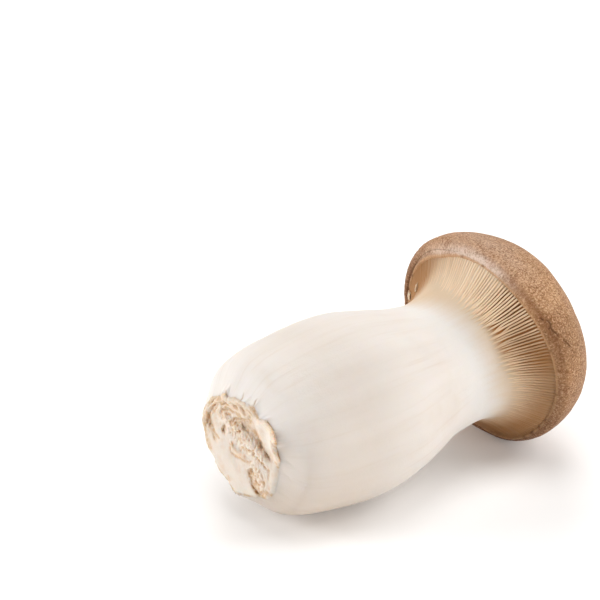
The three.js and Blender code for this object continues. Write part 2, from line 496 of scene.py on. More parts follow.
def make_cut_end(face):
    """The torn face, closed behind inside the stem."""
    u, v, folds, shreds, tan, brown = face
    edge_u, edge_v, edge_folds, edge_shreds = (values[-1:] for values in face[:4])
    flat = np.zeros((1, TORN_COLUMNS))
    # close it behind: just inside the edge, deeper in the flesh, and at a pole
    tucked = on_cut(edge_u, edge_v, edge_folds, edge_shreds - 0.3) * [1, 0.995, 1] + [0.2, 0, 0]
    deeper = on_cut(edge_u * 0.75, edge_v * 0.75, edge_folds, edge_shreds - 2.5)
    pole = on_cut(flat, flat, flat - 2.0, flat - 4.0)
    rows = np.concatenate([on_cut(u, v, folds, shreds), tucked, deeper, pole])
    return turned_piece("cut_end", laid(rows), {
        "tan": closed_rows(tan, tan.shape, 0, 3),
        "brown": closed_rows(brown, brown.shape, 0, 3),
    })


def torn_rim(face, angle):
    """Where the skin meets the torn face, at each angle round the spine."""
    u, v, folds, shreds = (values[-1] for values in face[:4])
    true_u, true_v = u + LEAN_SIDE * folds, v + LEAN_UP * folds
    turn = np.degrees(np.arctan2(true_u, true_v))
    radius, drop = (np.interp(np.degrees(angle), *sorted_by(turn, values), period=360)
                    for values in (np.hypot(true_u, true_v), -folds - shreds))
    radius = radius + SKIN_OUTSIDE
    return on_cut(radius * np.sin(angle), radius * np.cos(angle), 0 * angle, -drop - SKIN_BEHIND)


# --- The stem and the gills' bed -----------------------------------------------------

GILL_COUNT = 192
GILL_LENGTH = 15.5
GILL_DEPTH = 0.56
# How deep the gaps are at an angle, as a share of that.
GILLS_STAND_OUT = (
    (-140, 0.4), (-60, 0.4), (-36, 0.27), (-11, 0.15), (7, 0.17), (26, 0.22), (42, 1.50), (61, 1.35),
    (77, 0.75), (90, 0.33), (105, 0.30), (124, 0.42), (160, 0.5), (210, 0.4))
# Where they start to deepen further out from the neck: the middle and the half width.
DEEPER_LATE = (47, 24)
# How brown the gills are at an angle, and how far out they start to be, as a share of their length. The
# brown is partly their own and partly painted shade, most of all on the lower side and the back side.
GILLS_BROWN_AND_SHADE = (
    (-140, 0.6), (-75, 1.0), (-45, 1.0), (-33, 0.8), (-18, 0.25), (5, 0.0), (30, 0.05), (45, 0.2),
    (60, 0.55), (75, 0.95), (90, 0.80), (105, 0.90), (120, 0.95), (160, 0.95), (190, 0.8))
BROWN_FROM = (
    (-140, 0.0), (-75, -0.4), (-45, -0.35), (-30, 0.12), (-15, 0.3), (30, 0.3), (45, 0.1), (60, -0.02),
    (75, 0.22), (90, 0.25), (105, 0.2), (120, 0.18), (135, 0.08), (150, 0.02), (190, -0.1))
# Where their brown fades again towards the margin: the middle and the half width.
PALE_MARGIN = (50, 16)
# How much lighter the gills are painted at an angle: painted light near the top, which makes up for the
# shade between the blades.
GILLS_PAINTED_LIGHT = ((-20, 0.0), (-12, 0.12), (0, 0.36), (15, 0.42), (30, 0.3), (48, 0.12), (62, 0.0))
# How much further out the neck's cream reaches at an angle, as a share of the gills' length. From the top
# round to the back side, where it is lowest, the tan that starts sooner is partly painted shade.
CREAM_REACHES_OUT = (
    (-120, -0.5), (-75, -0.8), (-45, -0.8), (-25, -0.6), (0, -0.42), (18, -0.34), (32, -0.28),
    (60, -0.28), (90, -0.25), (110, -0.12), (150, -0.1), (190, -0.25), (220, -0.4))
# How far the cap's edge rolls in over the gills: angle in degrees, and mm. Where it is
# below 0, the gills reach out onto the edge.
INROLL = (
    (-140, 0.6), (-100, 0.9), (-70, 1.1), (-57, 1.3), (-42, 1.8), (-22, 2.4), (-7, 1.2), (8, 0.3),
    (22, 0.0), (38, 0.0), (76, -0.4), (106, -0.3), (121, -0.2), (142, -0.9), (160, -1.2), (173, -0.4),
    (185, 0.9), (200, 0.8))
# How far from the torn end the skin bends to meet it, and its small ragged bumps reach:
# they are what is left when the edge is evened over this many columns each way.
SHOULDER = 9.0
RIM_RAGGED = 3.5
RIM_EVENED = 14
# The rows that close the stem behind the torn end: how far each is on the way from a
# pole to the rim, and how far back it is set. The pole's station comes first.
BEHIND_POLE = 6.0
BEHIND_RIM = ((0.4, 1.5), (0.8, 1.0), (0.95, 0.3))
# The skin ends this far past the margin, inside the cap, and the rows that close it there
# follow: how far past the margin's station each is, and its radius.
SKIN_END = 1.5
STEM_IN_CAP = ((3, 27.0), (5, 0.0))
# A swelling of the neck: its middle and half width round it, the same along it in mm
# from the margin, and its height.
NECK_SWELLING = (126, 26, -19.5, 5.5, 1.0)
# The tanner side of the stem, partly its own tan where it lay and partly painted shade on the side towards
# the floor: its middle and half width.
TAN_AND_SHADE_SIDE = (135, 50)
# Creases in the skin next to the torn end: angle, length, depth and half width.
CREASES = ((12, 5.0, 0.12, 0.6), (-35, 3.0, 0.1, 0.6), (62, 6.0, 0.08, 0.7), (84, 9.0, 0.1, 0.6),
           (97, 7.0, 0.1, 0.5), (131, 5.0, 0.12, 0.5), (205, 4.0, 0.2, 0.6), (250, 5.0, 0.15, 0.6),
           (300, 3.5, 0.2, 0.5))
# Slits in the skin at the torn end: angle, length, depth and half width.
SLITS = ((1, 2.6, 0.25, 0.2), (21, 3.2, 0.3, 0.2), (-22, 1.2, 0.2, 0.3), (215, 2.0, 0.3, 0.25),
         (262, 1.5, 0.3, 0.3))


def inroll(angle):
    """How far the cap's edge rolls in over the gills, in mm."""
    return by_turn(INROLL, angle)


def browned(share, angle):
    """How brown the gills are, 0 to 1, at a share of their length out from the neck: partly their own
    brown, and partly painted shade.
    """
    start = by_turn(BROWN_FROM, angle)
    faded = 1 - 0.6 * turn_hump(angle, *PALE_MARGIN) * smoothstep(0.7, 1.0, share)
    return by_turn(GILLS_BROWN_AND_SHADE, angle) * smoothstep(start, start + 0.75, share) * faded


def paler(share, angle):
    """How much lighter the gills are painted, 0 to 1, as painted light."""
    return by_turn(GILLS_PAINTED_LIGHT, angle) * smoothstep(0.0, 0.5, share)


def ripened(share, angle):
    """How far the colour has turned from the neck's cream, at 0, to the margin's tan, at 1."""
    return share - by_turn(CREAM_REACHES_OUT, angle)


def gill_depth(share, angle):
    """How deep the gaps between the gills are, from the neck at 0 to the margin at 1."""
    around = by_turn(GILLS_STAND_OUT, angle)
    start = -0.1 + 0.12 * turn_hump(angle, *DEEPER_LATE)
    return GILL_DEPTH * around * smoothstep(start, 0.66, share) * (1 - 0.3 * smoothstep(0.85, 1.0, share))


def cut_lines(lines, sway, rate, fades_from, from_cut, radius, angle):
    """The depth and the shape, 0 to 1, of each line that runs along the skin from the cut."""
    for middle, length, depth, width in lines:
        wander = sway * np.sin(from_cut * rate + middle)
        across = mm_round(radius, angle, middle + wander)
        yield depth, hump(across, 0, width) * (1 - smoothstep(fades_from, 1.0, from_cut / length))


def creased_and_slit(from_cut, radius, angle, ring):
    """What the creases and slits at the torn end take off the skin, and how stained it is
    there."""
    blotches = 0.4 + cloud(np.broadcast_to(ring[:1], ring.shape), 3.0, 2, seed=33)
    stain = 0.7 * np.exp(-from_cut / 0.35) * blotches * (1 - turn_hump(angle, *SMOOTH_SIDE))
    taken = 0
    for depth, crease in cut_lines(CREASES, 1.5, 1.3, 0.2, from_cut, radius, angle):
        taken = taken + depth * crease
    for depth, slit in cut_lines(SLITS, 2.0, 1.1, 0.5, from_cut, radius, angle):
        taken = taken + depth * slit
        stain = np.maximum(stain, slit)
    return taken, stain


def stem_distances():
    """Distances from the cut along the skin, closer together next to it."""
    return np.r_[np.arange(0, 6, 0.2), np.arange(6, BACK_TO_CUT + SKIN_END, 0.5)][:, None]


def bent_to_rim(places, rim, from_cut):
    """The skin's places, bent to start at the torn face's edge. The small ragged bumps of
    the bend die away sooner than the rest of it."""
    offset = rim - places[:1]
    broad = evened(offset, RIM_EVENED)
    return (places + broad * (1 - smoothstep(0, SHOULDER, from_cut))[..., None]
            + (offset - broad) * (1 - smoothstep(0, RIM_RAGGED, from_cut))[..., None])


def make_stem(face):
    """The stem, the neck and the gills' bed, in one skin."""
    from_cut = stem_distances()
    distance = from_cut - BACK_TO_CUT
    angle = angles(STEM_COLUMNS)[None]
    radius, station = (np.interp(distance, DISTANCE, OUTLINE[:, k]) for k in (0, 1))
    share = 1 + distance / GILL_LENGTH

    # broad dents, ribs along it, creases and slits at the torn end, and the gills' bed
    ring = grain_of(station, angle, 20.0)
    lift = 0.28 * cloud(ring, 17.0, 2, seed=1) + 0.07 * cloud(ring, 5.0, 2, seed=2)
    ribs = cloud(ring * [1, 1, 0.07], 1.6, 2, seed=3)
    lift = lift + 0.035 * ribs * (1 - smoothstep(0.0, 0.4, share))
    taken, stain = creased_and_slit(from_cut, radius, angle, ring)
    gaps = gill_depth(share, angle)
    lift = lift - taken - gaps - 0.05 * smoothstep(0.0, 0.2, share)
    middle, spread, far, reach, height = NECK_SWELLING
    lift = lift + height * turn_hump(angle, middle, spread) * hump(distance, far, reach)

    # the skin starts at the torn face's edge, and closes inside: behind the torn end, and
    # inside the cap
    rim = torn_rim(face, angle)
    places = bent_to_rim(skin_at(distance, angle, lift), rim, from_cut)
    pole = row_at(BEHIND_POLE, 0.0, angle)
    behind = [pole * (1 - way) + rim * way + [back, 0, 0] for way, back in BEHIND_RIM]
    in_cap = [row_at(STEM_LENGTH + past, inner, angle) for past, inner in STEM_IN_CAP]
    places = np.concatenate([pole, *behind, places, *in_cap])

    def full(values):
        before, after = 1 + len(BEHIND_RIM), len(STEM_IN_CAP)
        return closed_rows(values, (len(distance), STEM_COLUMNS), before, after)

    return turned_piece("stem", laid(places), {
        "grain": grain_of(full(distance), angle, 20.0),
        "along": full(station / STEM_LENGTH),
        "hollow": full(gaps / GILL_DEPTH),
        "ripe": full(ripened(share, angle)),
        "browned": full(browned(share, angle)),
        "paler": full(paler(share, angle)),
        "stain": full(np.clip(stain, 0, 1)),
        "underside": full(0.6 * turn_hump(angle, *TAN_AND_SHADE_SIDE)),
    })


# --- Crumbs of flesh on the gills --------------------------------------------------------

# Angle, distance from the margin, and half length, half width and half thickness.
CRUMBS = ((-53.0, -8.3, 1.5, 0.8, 0.4), (-73.5, -4.0, 1.2, 1.3, 0.5))


def make_crumb(number, middle, distance, long, wide, thick):
    """A lumpy crumb, longest along the gills."""
    turn = angles(16)[None]
    tilt = np.linspace(math.pi, 0, 11)[:, None]
    ball = np.stack(np.broadcast_arrays(
        np.sin(tilt) * np.cos(turn), np.sin(tilt) * np.sin(turn), np.cos(tilt)), axis=-1)
    ball = ball * (1 + 0.8 * cloud(ball, 0.8, 3, seed=40 + number))[..., None]
    angle = math.radians(middle) + ball[..., 1] * wide / MARGIN_RADIUS
    places = skin_at(distance + ball[..., 2] * long, angle, 0.2 + ball[..., 0] * thick)
    # its brown is partly painted shade, like that of the gills round it
    return turned_piece(f"crumb_{number}", laid(places), {
        "along": np.full((1, 1), 0.9), "ripe": np.full((1, 1), 0.6), "browned": np.full((1, 1), 0.2)})


# --- The cap ---------------------------------------------------------------------------

LIP_WIDTH = 0.7
# The rows that close the cap inside: how far past the margin's station each is, and its
# radius. Then those that lead out to the lip: how far back from it, and how deep.
CAP_INSIDE = ((6, 0.0), (3.0, 25.0))
LIP_TUCKED = ((0.9, 1.6), (0.25, 0.4))
# Swellings of the cap: angle in degrees and distance from the margin in mm, how far they
# spread each way in degrees and mm, and their height in mm.
SWELLINGS = ((20, 20.5, 34, 7.0, 1.35), (-44, 5.0, 16, 4.0, -0.5), (97, 14.0, 25, 6.0, 0.25))
# The fold along the margin on the -Y side: its middle, half width and depth.
FOLD_ANGLE, FOLD_SPREAD, FOLD_DEPTH = 56.0, 30.0, 0.5
# Slots beside the lip, where it has split from the skin: the angle and its half width.
SLOTS = ((-80, 24), (172, 12))
SLOT_DEPTH = 0.6
# Nicks this deep or more are painted as a fully dark line, as painted shade in the tear.
NICK_DARKEST = 0.3
# Nicks in the lip where the skin has torn: angle in degrees, width in mm and depth.
NICKS = ((135, 0.9, 0.3), (127, 0.8, 0.3), (119, 0.9, 0.3), (143, 0.6, 0.25), (98, 0.5, 0.2),
         (72, 0.5, 0.2), (12, 0.5, 0.25), (-4, 0.5, 0.2), (-62, 0.8, 0.3), (-75, 1.2, 0.3),
         (-120, 0.8, 0.3), (-160, 1.0, 0.3), (40, 0.5, 0.2))
# How white the pale band next to the margin is at an angle: partly the skin's own pale band, and partly
# painted light on the top of the rolled edge.
BLOOM_AND_LIGHT = (
    (-65, 0), (-48, 0.1), (-34, 0.4), (-18, 0.8), (5, 0.95), (15, 0.95), (26, 0.55), (36, 0.1), (46, 0))
# A faint one further up, which is painted light on the top of the cap: its middle and half width, the same
# in mm from the margin, and how white it is.
FAINT_BLOOM_AND_LIGHT = (12, 26, 8, 4.5, 0.2)
# How much darker brown the skin is painted at an angle, as painted shade: most of all on the lower side and
# the back side.
SKIN_PAINTED_SHADE = (
    (-120, 0.9), (-80, 1.4), (-55, 1.3), (-38, 0.5), (-20, 0.1), (46, 0.0), (55, 0.4), (65, 1.0),
    (76, 1.0), (88, 0.45), (110, 0.7), (130, 1.2), (165, 1.6), (200, 1.6), (230, 0.9))
# Cracks in the skin, each a line of (angle in degrees, distance from the margin in mm).
CRACKS = (((57.0, 3.6), (59.1, 3.8), (60.5, 3.5), (62.6, 3.4), (64.7, 4.0), (66.1, 4.0)),
          ((60.5, 3.5), (61.2, 2.8)), ((68.9, 5.0), (71.0, 5.8), (73.1, 6.6)), ((54.5, 2.2), (56.0, 2.6)))
CRACK_WIDTH = 0.19
# Where the cracks are, in degrees, and the step between the columns there.
CRACKED = (53.7, 74.3)
CRACKED_STEP = 0.25


def cap_angles():
    """Angles round the cap, closer together where the skin has cracked."""
    first, last = CRACKED
    evenly = np.degrees(angles(CAP_COLUMNS))
    elsewhere = evenly[(evenly < first - 0.2) | (evenly > last + 0.2)]
    return np.radians(np.sort(np.r_[elsewhere, np.arange(first, last, CRACKED_STEP)]))


def cap_distances():
    """Distances from the margin to the crown, closer together at the lip and the cracks."""
    crown = DISTANCE[-1] - 0.1
    return np.r_[np.arange(0, 2.4, 0.2), np.arange(2.4, 7, 0.14), np.arange(7, crown, 0.36)][:, None]


def from_cracks(distance, angle):
    """How far each place on the cap is from the nearest crack."""
    around = CAP_RADIUS * angle
    lines = [[(CAP_RADIUS * math.radians(turn), far) for turn, far in crack] for crack in CRACKS]
    return np.min([path_distance(around, distance + 0 * angle, line) for line in lines], axis=0)


def split_and_nicked(distance, radius, angle):
    """The slots beside the lip and the nicks in it: what they take off the skin, and how much of each is
    painted as a dark line of shade."""
    slot = 0 * distance * angle
    for middle, spread in SLOTS:
        slot = np.maximum(slot, turn_hump(angle, middle, spread) * hump(distance, 1.0, 0.4))
    taken = SLOT_DEPTH * slot
    dark = slot
    for middle, width, depth in NICKS:
        nick = hump(mm_round(radius, angle, middle), 0, width)
        taken = taken + depth * nick * hump(distance, 0.6, 0.5)
        dark = np.maximum(dark, depth / NICK_DARKEST * nick * hump(distance, 0.3, 0.5))
    return taken, dark


def margin_fold(distance, angle, edge):
    """The fold along the margin: its lift, and how much of it shows at each place."""
    strength = turn_hump(angle, FOLD_ANGLE, FOLD_SPREAD) + 0.22 * cloud(edge, 14.0, 2, seed=4)
    strength = np.clip(strength, 0, 1)
    middle = 2.7 + 0.6 * cloud(edge, 9.0, 2, seed=5)
    sunk = FOLD_DEPTH * strength * hump(distance, middle, 0.8)
    raised = 0.25 * strength * hump(distance, middle + 2.4, 1.5)
    return raised - sunk, strength * hump(distance, middle, 0.9)


def make_cap():
    """The cap from its rolled lip to its crown, closed inside behind the gills."""
    distance = cap_distances()
    angle = cap_angles()[None]
    rolled = inroll(angle)
    skin = distance - rolled * (1 - smoothstep(0, 9, distance))
    radius = np.interp(skin, DISTANCE, OUTLINE[:, 0])
    straight = skin_at(skin, angle, 0)
    ring = grain_of(distance, angle, 30.0)
    edge = np.broadcast_to(ring[:1], ring.shape)

    # broad dents and swellings, then the fold along the margin, and the lip
    lift = 0.20 * cloud(straight, 17.0, 2, seed=6) + 0.10 * cloud(straight, 5.0, 2, seed=7)
    for middle, far, spread, reach, height in SWELLINGS:
        lift = lift + height * turn_hump(angle, middle, spread) * hump(distance, far, reach)
    lift = lift * smoothstep(0.5, 6.0, distance)
    fold_lift, folded = margin_fold(distance, angle, edge)
    lift = lift + fold_lift + 0.15 * hump(distance, LIP_WIDTH / 2, 0.5)
    lift = lift + 0.4 * np.maximum(rolled, 0) * hump(distance, 2.2, 1.9)
    # what has split, torn and wrinkled
    taken, dark = split_and_nicked(distance, radius, angle)
    wrinkles = cloud(ring * [1, 1, 0.3], 0.9, 2, seed=8)
    leather = 1 - 2 * np.abs(cloud(straight, 1.7, 3, seed=10))
    lift = lift - taken + 0.06 * wrinkles * hump(distance, 2.0, 3.5)
    lift = lift + 0.04 * leather * smoothstep(0.5, 4, distance)
    torn = from_cracks(distance, angle)
    crack = np.exp(-(torn / CRACK_WIDTH) ** 2)
    lift = lift - 0.4 * crack + 0.12 * np.exp(-(torn / 0.7) ** 2)

    # close it inside, behind the gills' outer ends, and with a pole at the crown
    places = skin_at(skin, angle, lift)
    inside = [row_at(STEM_LENGTH + past, inner, angle) for past, inner in CAP_INSIDE]
    tucked = [skin_at(-back - rolled, angle, -depth) for back, depth in LIP_TUCKED]
    crown = row_at(SPINE_LENGTH, 0.0, angle) + (places[-1] - straight[-1]).mean(axis=0)
    places = np.concatenate([*inside, *tucked, places, crown])

    def full(values):
        return closed_rows(values, (len(distance), angle.size), len(CAP_INSIDE) + len(LIP_TUCKED), 1)

    # the pale band by the margin, partly the skin's own and partly painted light, and a faint painted light
    # further up
    middle, spread, far, reach, whiteness = FAINT_BLOOM_AND_LIGHT
    bloom = (by_turn(BLOOM_AND_LIGHT, angle) * hump(distance, 1.5, 1.7)
             + whiteness * turn_hump(angle, middle, spread) * hump(distance, far, reach))
    return turned_piece("cap", laid(places), {
        "grain": grain_of(full(distance), angle, 30.0),
        "across": full(distance),
        "fold": full(folded),
        # cracks, slots and nicks, painted dark as painted shade in their gaps
        "cracked": full(np.maximum(dark, crack)),
        "bloom": full(bloom),
        # painted shade on the cap's lower and back sides
        "shaded": full(by_turn(SKIN_PAINTED_SHADE, angle) * (1 - smoothstep(4, 22, distance))),
    })


# --- Node trees -------------------------------------------------------------------------

class Value:
    """An output socket that sums and products can be written with."""

    def __init__(self, nodes, socket):
        self.nodes = nodes
        self.socket = socket

    def maths(self, operation, first, second):
        """A Math node on two values or numbers."""
        inputs = {0: first, 1: second}
        return self.nodes.add("ShaderNodeMath", {"operation": operation}, inputs)

    def __add__(self, other):
        return self.maths("ADD", self, other)

    def __radd__(self, other):
        return self.maths("ADD", other, self)

    def __sub__(self, other):
        return self.maths("SUBTRACT", self, other)

    def __rsub__(self, other):
        return self.maths("SUBTRACT", other, self)

    def __mul__(self, other):
        return self.maths("MULTIPLY", self, other)

    def __rmul__(self, other):
        return self.maths("MULTIPLY", other, self)

    def __truediv__(self, other):
        return self.maths("DIVIDE", self, other)

    def __rtruediv__(self, other):
        return self.maths("DIVIDE", other, self)

    def step(self, low, high):
        """0 below low, 1 above high, and smooth between."""
        inputs = {"Value": self, "From Min": low, "From Max": high}
        return self.nodes.add("ShaderNodeMapRange", {"interpolation_type": "SMOOTHSTEP"}, inputs)


class Nodes:
    """A node tree, and the one method that adds a node to it."""

    def __init__(self, tree):
        self.tree = tree

    def add(self, kind, settings=None, inputs=None, output=0):
        """Adds a node, sets it up, then links or sets its inputs, and gives one output."""
        node = self.tree.nodes.new(kind)
        for name, value in (settings or {}).items():
            setattr(node, name, value)
        for key, value in (inputs or {}).items():
            socket = find_socket(node.inputs, key)
            if isinstance(value, Value):
                self.tree.links.new(value.socket, socket)
            else:
                socket.default_value = value
        return Value(self, find_socket(node.outputs, output))


def find_socket(sockets, key):
    """The socket with that number, or the one in use with that name."""
    if isinstance(key, int):
        return sockets[key]
    return next(s for s in sockets if s.enabled and s.name == key)


class Shader(Nodes):
    """A material with a Principled shader, and the nodes that its surface needs."""

    def __init__(self, name, constants):
        self.material = bpy.data.materials.new(name)
        self.material.use_nodes = True
        super().__init__(self.material.node_tree)
        self.principled = self.tree.nodes["Principled BSDF"]
        for socket, value in constants.items():
            self.principled.inputs[socket].default_value = value

    def place(self):
        """Where a point is, in metres."""
        return self.add("ShaderNodeTexCoord", output="Object")

    def stored(self, name):
        """A number that the mesh holds at each point."""
        return self.add("ShaderNodeAttribute", {"attribute_name": name}, output="Fac")

    def stored_vector(self, name):
        """A vector that the mesh holds at each point."""
        return self.add("ShaderNodeAttribute", {"attribute_name": name}, output="Vector")

    def stretched(self, vector, scale):
        """A vector with each axis scaled: below 1, what is drawn on it grows longer."""
        return self.add("ShaderNodeMapping", {}, {"Vector": vector, "Scale": scale})

    def noise(self, vector, size, detail=3.0, roughness=0.5, distortion=0.0):
        """Soft random values of about 0 to 1, with lumps of a size in the vector's unit."""
        return self.add("ShaderNodeTexNoise", {}, {
            "Vector": vector, "Scale": 1 / size, "Detail": detail,
            "Roughness": roughness, "Distortion": distortion})

    def mix(self, first, second, factor):
        """A colour between two colours."""
        settings = {"data_type": "RGBA", "blend_type": "MIX", "clamp_factor": True}
        inputs = {"A": first, "B": second, "Factor": factor}
        return self.add("ShaderNodeMix", settings, inputs, output="Result")

    def finish(self, colour, roughness, height, relief):
        """Links what varies. height is 0 to 1, and relief is its size in metres."""
        bump = self.add("ShaderNodeBump", {}, {"Strength": 1.0, "Distance": relief, "Height": height})
        for name, value in (("Base Color", colour), ("Roughness", roughness), ("Normal", bump)):
            self.tree.links.new(value.socket, self.principled.inputs[name])
        return self.material


def rgb(red, green, blue):
    """An opaque colour from linear values."""
    return (red, green, blue, 1.0)


# --- Materials ----------------------------------------------------------------------------

# The stem and the neck.
FLESH_WHITE = rgb(0.72, 0.68, 0.645)
FLESH_CREAM = rgb(0.60, 0.535, 0.475)
FLESH_TAN = rgb(0.54, 0.43, 0.33)
NECK_CREAM = rgb(0.665, 0.632, 0.595)
NECK_TAN = rgb(0.60, 0.455, 0.315)
# The gills: their edges, their brown ones that are partly painted shade, their lighter ones that are
# painted light, and the painted shade in the gaps between them.
GILL_EDGE = rgb(0.77, 0.565, 0.375)
GILL_BROWN_SHADE = rgb(0.34, 0.172, 0.07)
GILL_LIGHT_PALE = rgb(0.88, 0.72, 0.54)
GILL_GAP_SHADE = rgb(0.37, 0.15, 0.035)
# The skin of the cap: its mottles, the light and dark ends of its nap, the fold, the crown, the pale band
# by the margin, which is partly painted light, and the lip.
SKIN_LIGHT = rgb(0.44, 0.24, 0.115)
SKIN_MIDDLE = rgb(0.30, 0.142, 0.060)
SKIN_ROSE = rgb(0.34, 0.19, 0.115)
SKIN_FLECK = rgb(0.64, 0.41, 0.24)
SKIN_DARK = rgb(0.145, 0.06, 0.024)
SKIN_RED = rgb(0.20, 0.078, 0.03)
SKIN_CROWN = rgb(0.24, 0.135, 0.08)
SKIN_BLOOM_AND_LIGHT = rgb(0.71, 0.57, 0.48)
LIP_TAN = rgb(0.50, 0.285, 0.14)
# The torn end.
TORN_CREAM = rgb(0.68, 0.62, 0.555)
TORN_TAN = rgb(0.60, 0.41, 0.25)
TORN_BROWN = rgb(0.44, 0.26, 0.13)

SOFT_FLESH = {"Subsurface Weight": 0.35, "Subsurface Radius": (1.0, 0.62, 0.38),
              "Subsurface Scale": 2.2 * MM, "Specular IOR Level": 0.35}


def flesh_material():
    """Pale stem flesh with fine fibres, turning to the gills' tan past the neck."""
    shader = Shader("flesh", SOFT_FLESH)
    grain = shader.stored_vector("grain")
    along = shader.stored("along")
    fibres = shader.noise(shader.stretched(grain, (1, 1, 0.05)), 1.1, 4, 0.6)
    streaks = shader.noise(shader.stretched(grain, (1, 1, 0.09)), 5.0, 3, 0.55)
    patches = shader.noise(grain, 13.0, 3, 0.5)
    whiteness = (1 - along.step(0.0, 0.30)) * 0.7 + along.step(0.3, 0.6) * 0.35 + streaks * 0.7 - 0.25
    colour = shader.mix(FLESH_CREAM, FLESH_WHITE, whiteness)
    colour = shader.mix(colour, FLESH_TAN, patches.step(0.56, 0.8) * 0.28)
    colour = shader.mix(colour, FLESH_TAN, fibres.step(0.52, 0.80) * 0.26)
    # tanner towards the floor near the cut: partly the flesh's own tan, partly painted shade
    colour = shader.mix(colour, FLESH_TAN, shader.stored("underside") * (1 - along.step(0.15, 0.40)))
    colour = shader.mix(colour, NECK_CREAM, along.step(0.66, 0.80))
    # the gills' tan, which starts sooner on the top and back side partly as painted shade
    colour = shader.mix(colour, NECK_TAN, (shader.stored("ripe") + (fibres - 0.5) * 0.25).step(-0.05, 0.65))
    # painted light: the gills lighter near the top
    colour = shader.mix(colour, GILL_LIGHT_PALE, shader.stored("paler"))
    # the gills' brown, partly their own and partly painted shade
    colour = shader.mix(colour, GILL_BROWN_SHADE, shader.stored("browned"))
    # painted shade in the gaps between the gills
    colour = shader.mix(colour, GILL_GAP_SHADE, shader.stored("hollow").step(0.1, 0.85))
    colour = shader.mix(colour, TORN_BROWN, shader.stored("stain") * 0.75)
    height = fibres * 0.6 + shader.noise(grain, 0.5, 2) * 0.4
    return shader.finish(colour, fibres * 0.15 + 0.5, height, 0.15 * MM)


def gill_material():
    """Gill blades: pale at the edge, and painted darker down in the gaps, as painted shade."""
    shader = Shader("gill", {"Subsurface Weight": 0.2, "Subsurface Radius": (1.0, 0.5, 0.25),
                             "Subsurface Scale": 0.25 * MM, "Specular IOR Level": 0.2})
    rise = shader.stored("rise")
    ripe = shader.stored("ripe")
    tone = shader.stored("tone")
    start = shader.mix(NECK_CREAM, NECK_TAN, ripe.step(-0.05, 0.6))
    edge = shader.mix(start, GILL_EDGE, ripe.step(0.25, 0.75))
    # painted light: lighter near the top
    edge = shader.mix(edge, GILL_LIGHT_PALE, shader.stored("paler"))
    # partly the gills' own brown, partly painted shade
    edge = shader.mix(edge, GILL_BROWN_SHADE, shader.stored("browned") + tone * 0.12)
    # painted shade down in the gaps, towards the blades' roots
    root = shader.mix(edge, GILL_GAP_SHADE, shader.stored("hollow").step(0.1, 0.85))
    colour = shader.mix(root, edge, rise.step(0.40, 1.0))
    speckle = shader.noise(shader.place(), 0.5 * MM, 2)
    return shader.finish(colour, speckle * 0.2 + 0.5, speckle, 0.05 * MM)


def skin_material():
    """Suede-like tan skin with a short nap, a pale band by the margin that is partly its own and partly
    painted light, and a bare lip.
    """
    shader = Shader("cap_skin", {"Sheen Weight": 0.14, "Sheen Roughness": 0.3,
                                 "Sheen Tint": rgb(1.0, 0.92, 0.84), "Specular IOR Level": 0.2,
                                 "Subsurface Weight": 0.1, "Subsurface Scale": 0.6 * MM})
    place = shader.place()
    grain = shader.stored_vector("grain")
    across = shader.stored("across")
    near_edge = 1 - across.step(1.0, 8.0)
    suede = shader.noise(place, 0.52 * MM, 3, 0.8, 0.3)
    hairs = shader.noise(shader.stretched(grain, (1, 1, 0.42)), 0.48, 3, 0.8, 0.3)
    nap = suede * (1 - near_edge * 0.5) + hairs * near_edge * 0.5
    mottles = shader.noise(place, 4.0 * MM, 4, 0.65, 0.6)
    patches = shader.noise(place, 9 * MM, 3, 0.6)
    clouds = shader.noise(place, 24 * MM, 2, 0.5)
    colour = shader.mix(SKIN_MIDDLE, SKIN_LIGHT, mottles.step(0.30, 0.64))
    colour = shader.mix(colour, SKIN_ROSE, clouds.step(0.46, 0.66) * 0.5)
    colour = shader.mix(colour, SKIN_MIDDLE, (1 - patches.step(0.36, 0.56)) * 0.4)
    # the crown is greyer and smoother, with streaks that run in to its middle
    crown = across.step(13, 38)
    streaks = shader.noise(shader.stretched(grain, (1, 1, 0.07)), 1.8, 3, 0.7)
    colour = shader.mix(colour, SKIN_DARK, (1 - nap.step(0.36, 0.50)) * (0.8 - crown * 0.35))
    colour = shader.mix(colour, SKIN_FLECK, nap.step(0.50, 0.62) * (0.9 - crown * 0.5))
    colour = shader.mix(colour, SKIN_CROWN, crown * (0.35 + clouds * 0.3))
    streaked = streaks.step(0.48, 0.66) * crown * (1 - across.step(38, 50))
    colour = shader.mix(colour, SKIN_DARK, streaked * 0.35)
    # painted shade: darker brown in places, and most of all between the flecks
    painted_shade_amount = shader.stored("shaded") * (0.66 - nap.step(0.42, 0.58) * 0.32)
    colour = shader.mix(colour, SKIN_DARK, painted_shade_amount)
    colour = shader.mix(colour, SKIN_RED, shader.stored("fold") * 0.55)
    # the pale band by the margin: partly the skin's own, partly painted light
    bloom = shader.stored("bloom") * (nap * 0.8 + mottles * 0.5).step(0.45, 0.75)
    colour = shader.mix(colour, SKIN_BLOOM_AND_LIGHT, bloom)
    # the bare lip, and cracks, slots and nicks, painted dark as painted shade in their gaps
    lip = 1 - (across + (nap - 0.5) * 1.5).step(0.35, 0.9)
    colour = shader.mix(colour, LIP_TAN, lip * 0.6)
    colour = shader.mix(colour, SKIN_DARK, shader.stored("cracked") * 0.95)
    return shader.finish(colour, patches * 0.1 + 0.75, nap, 0.30 * MM)


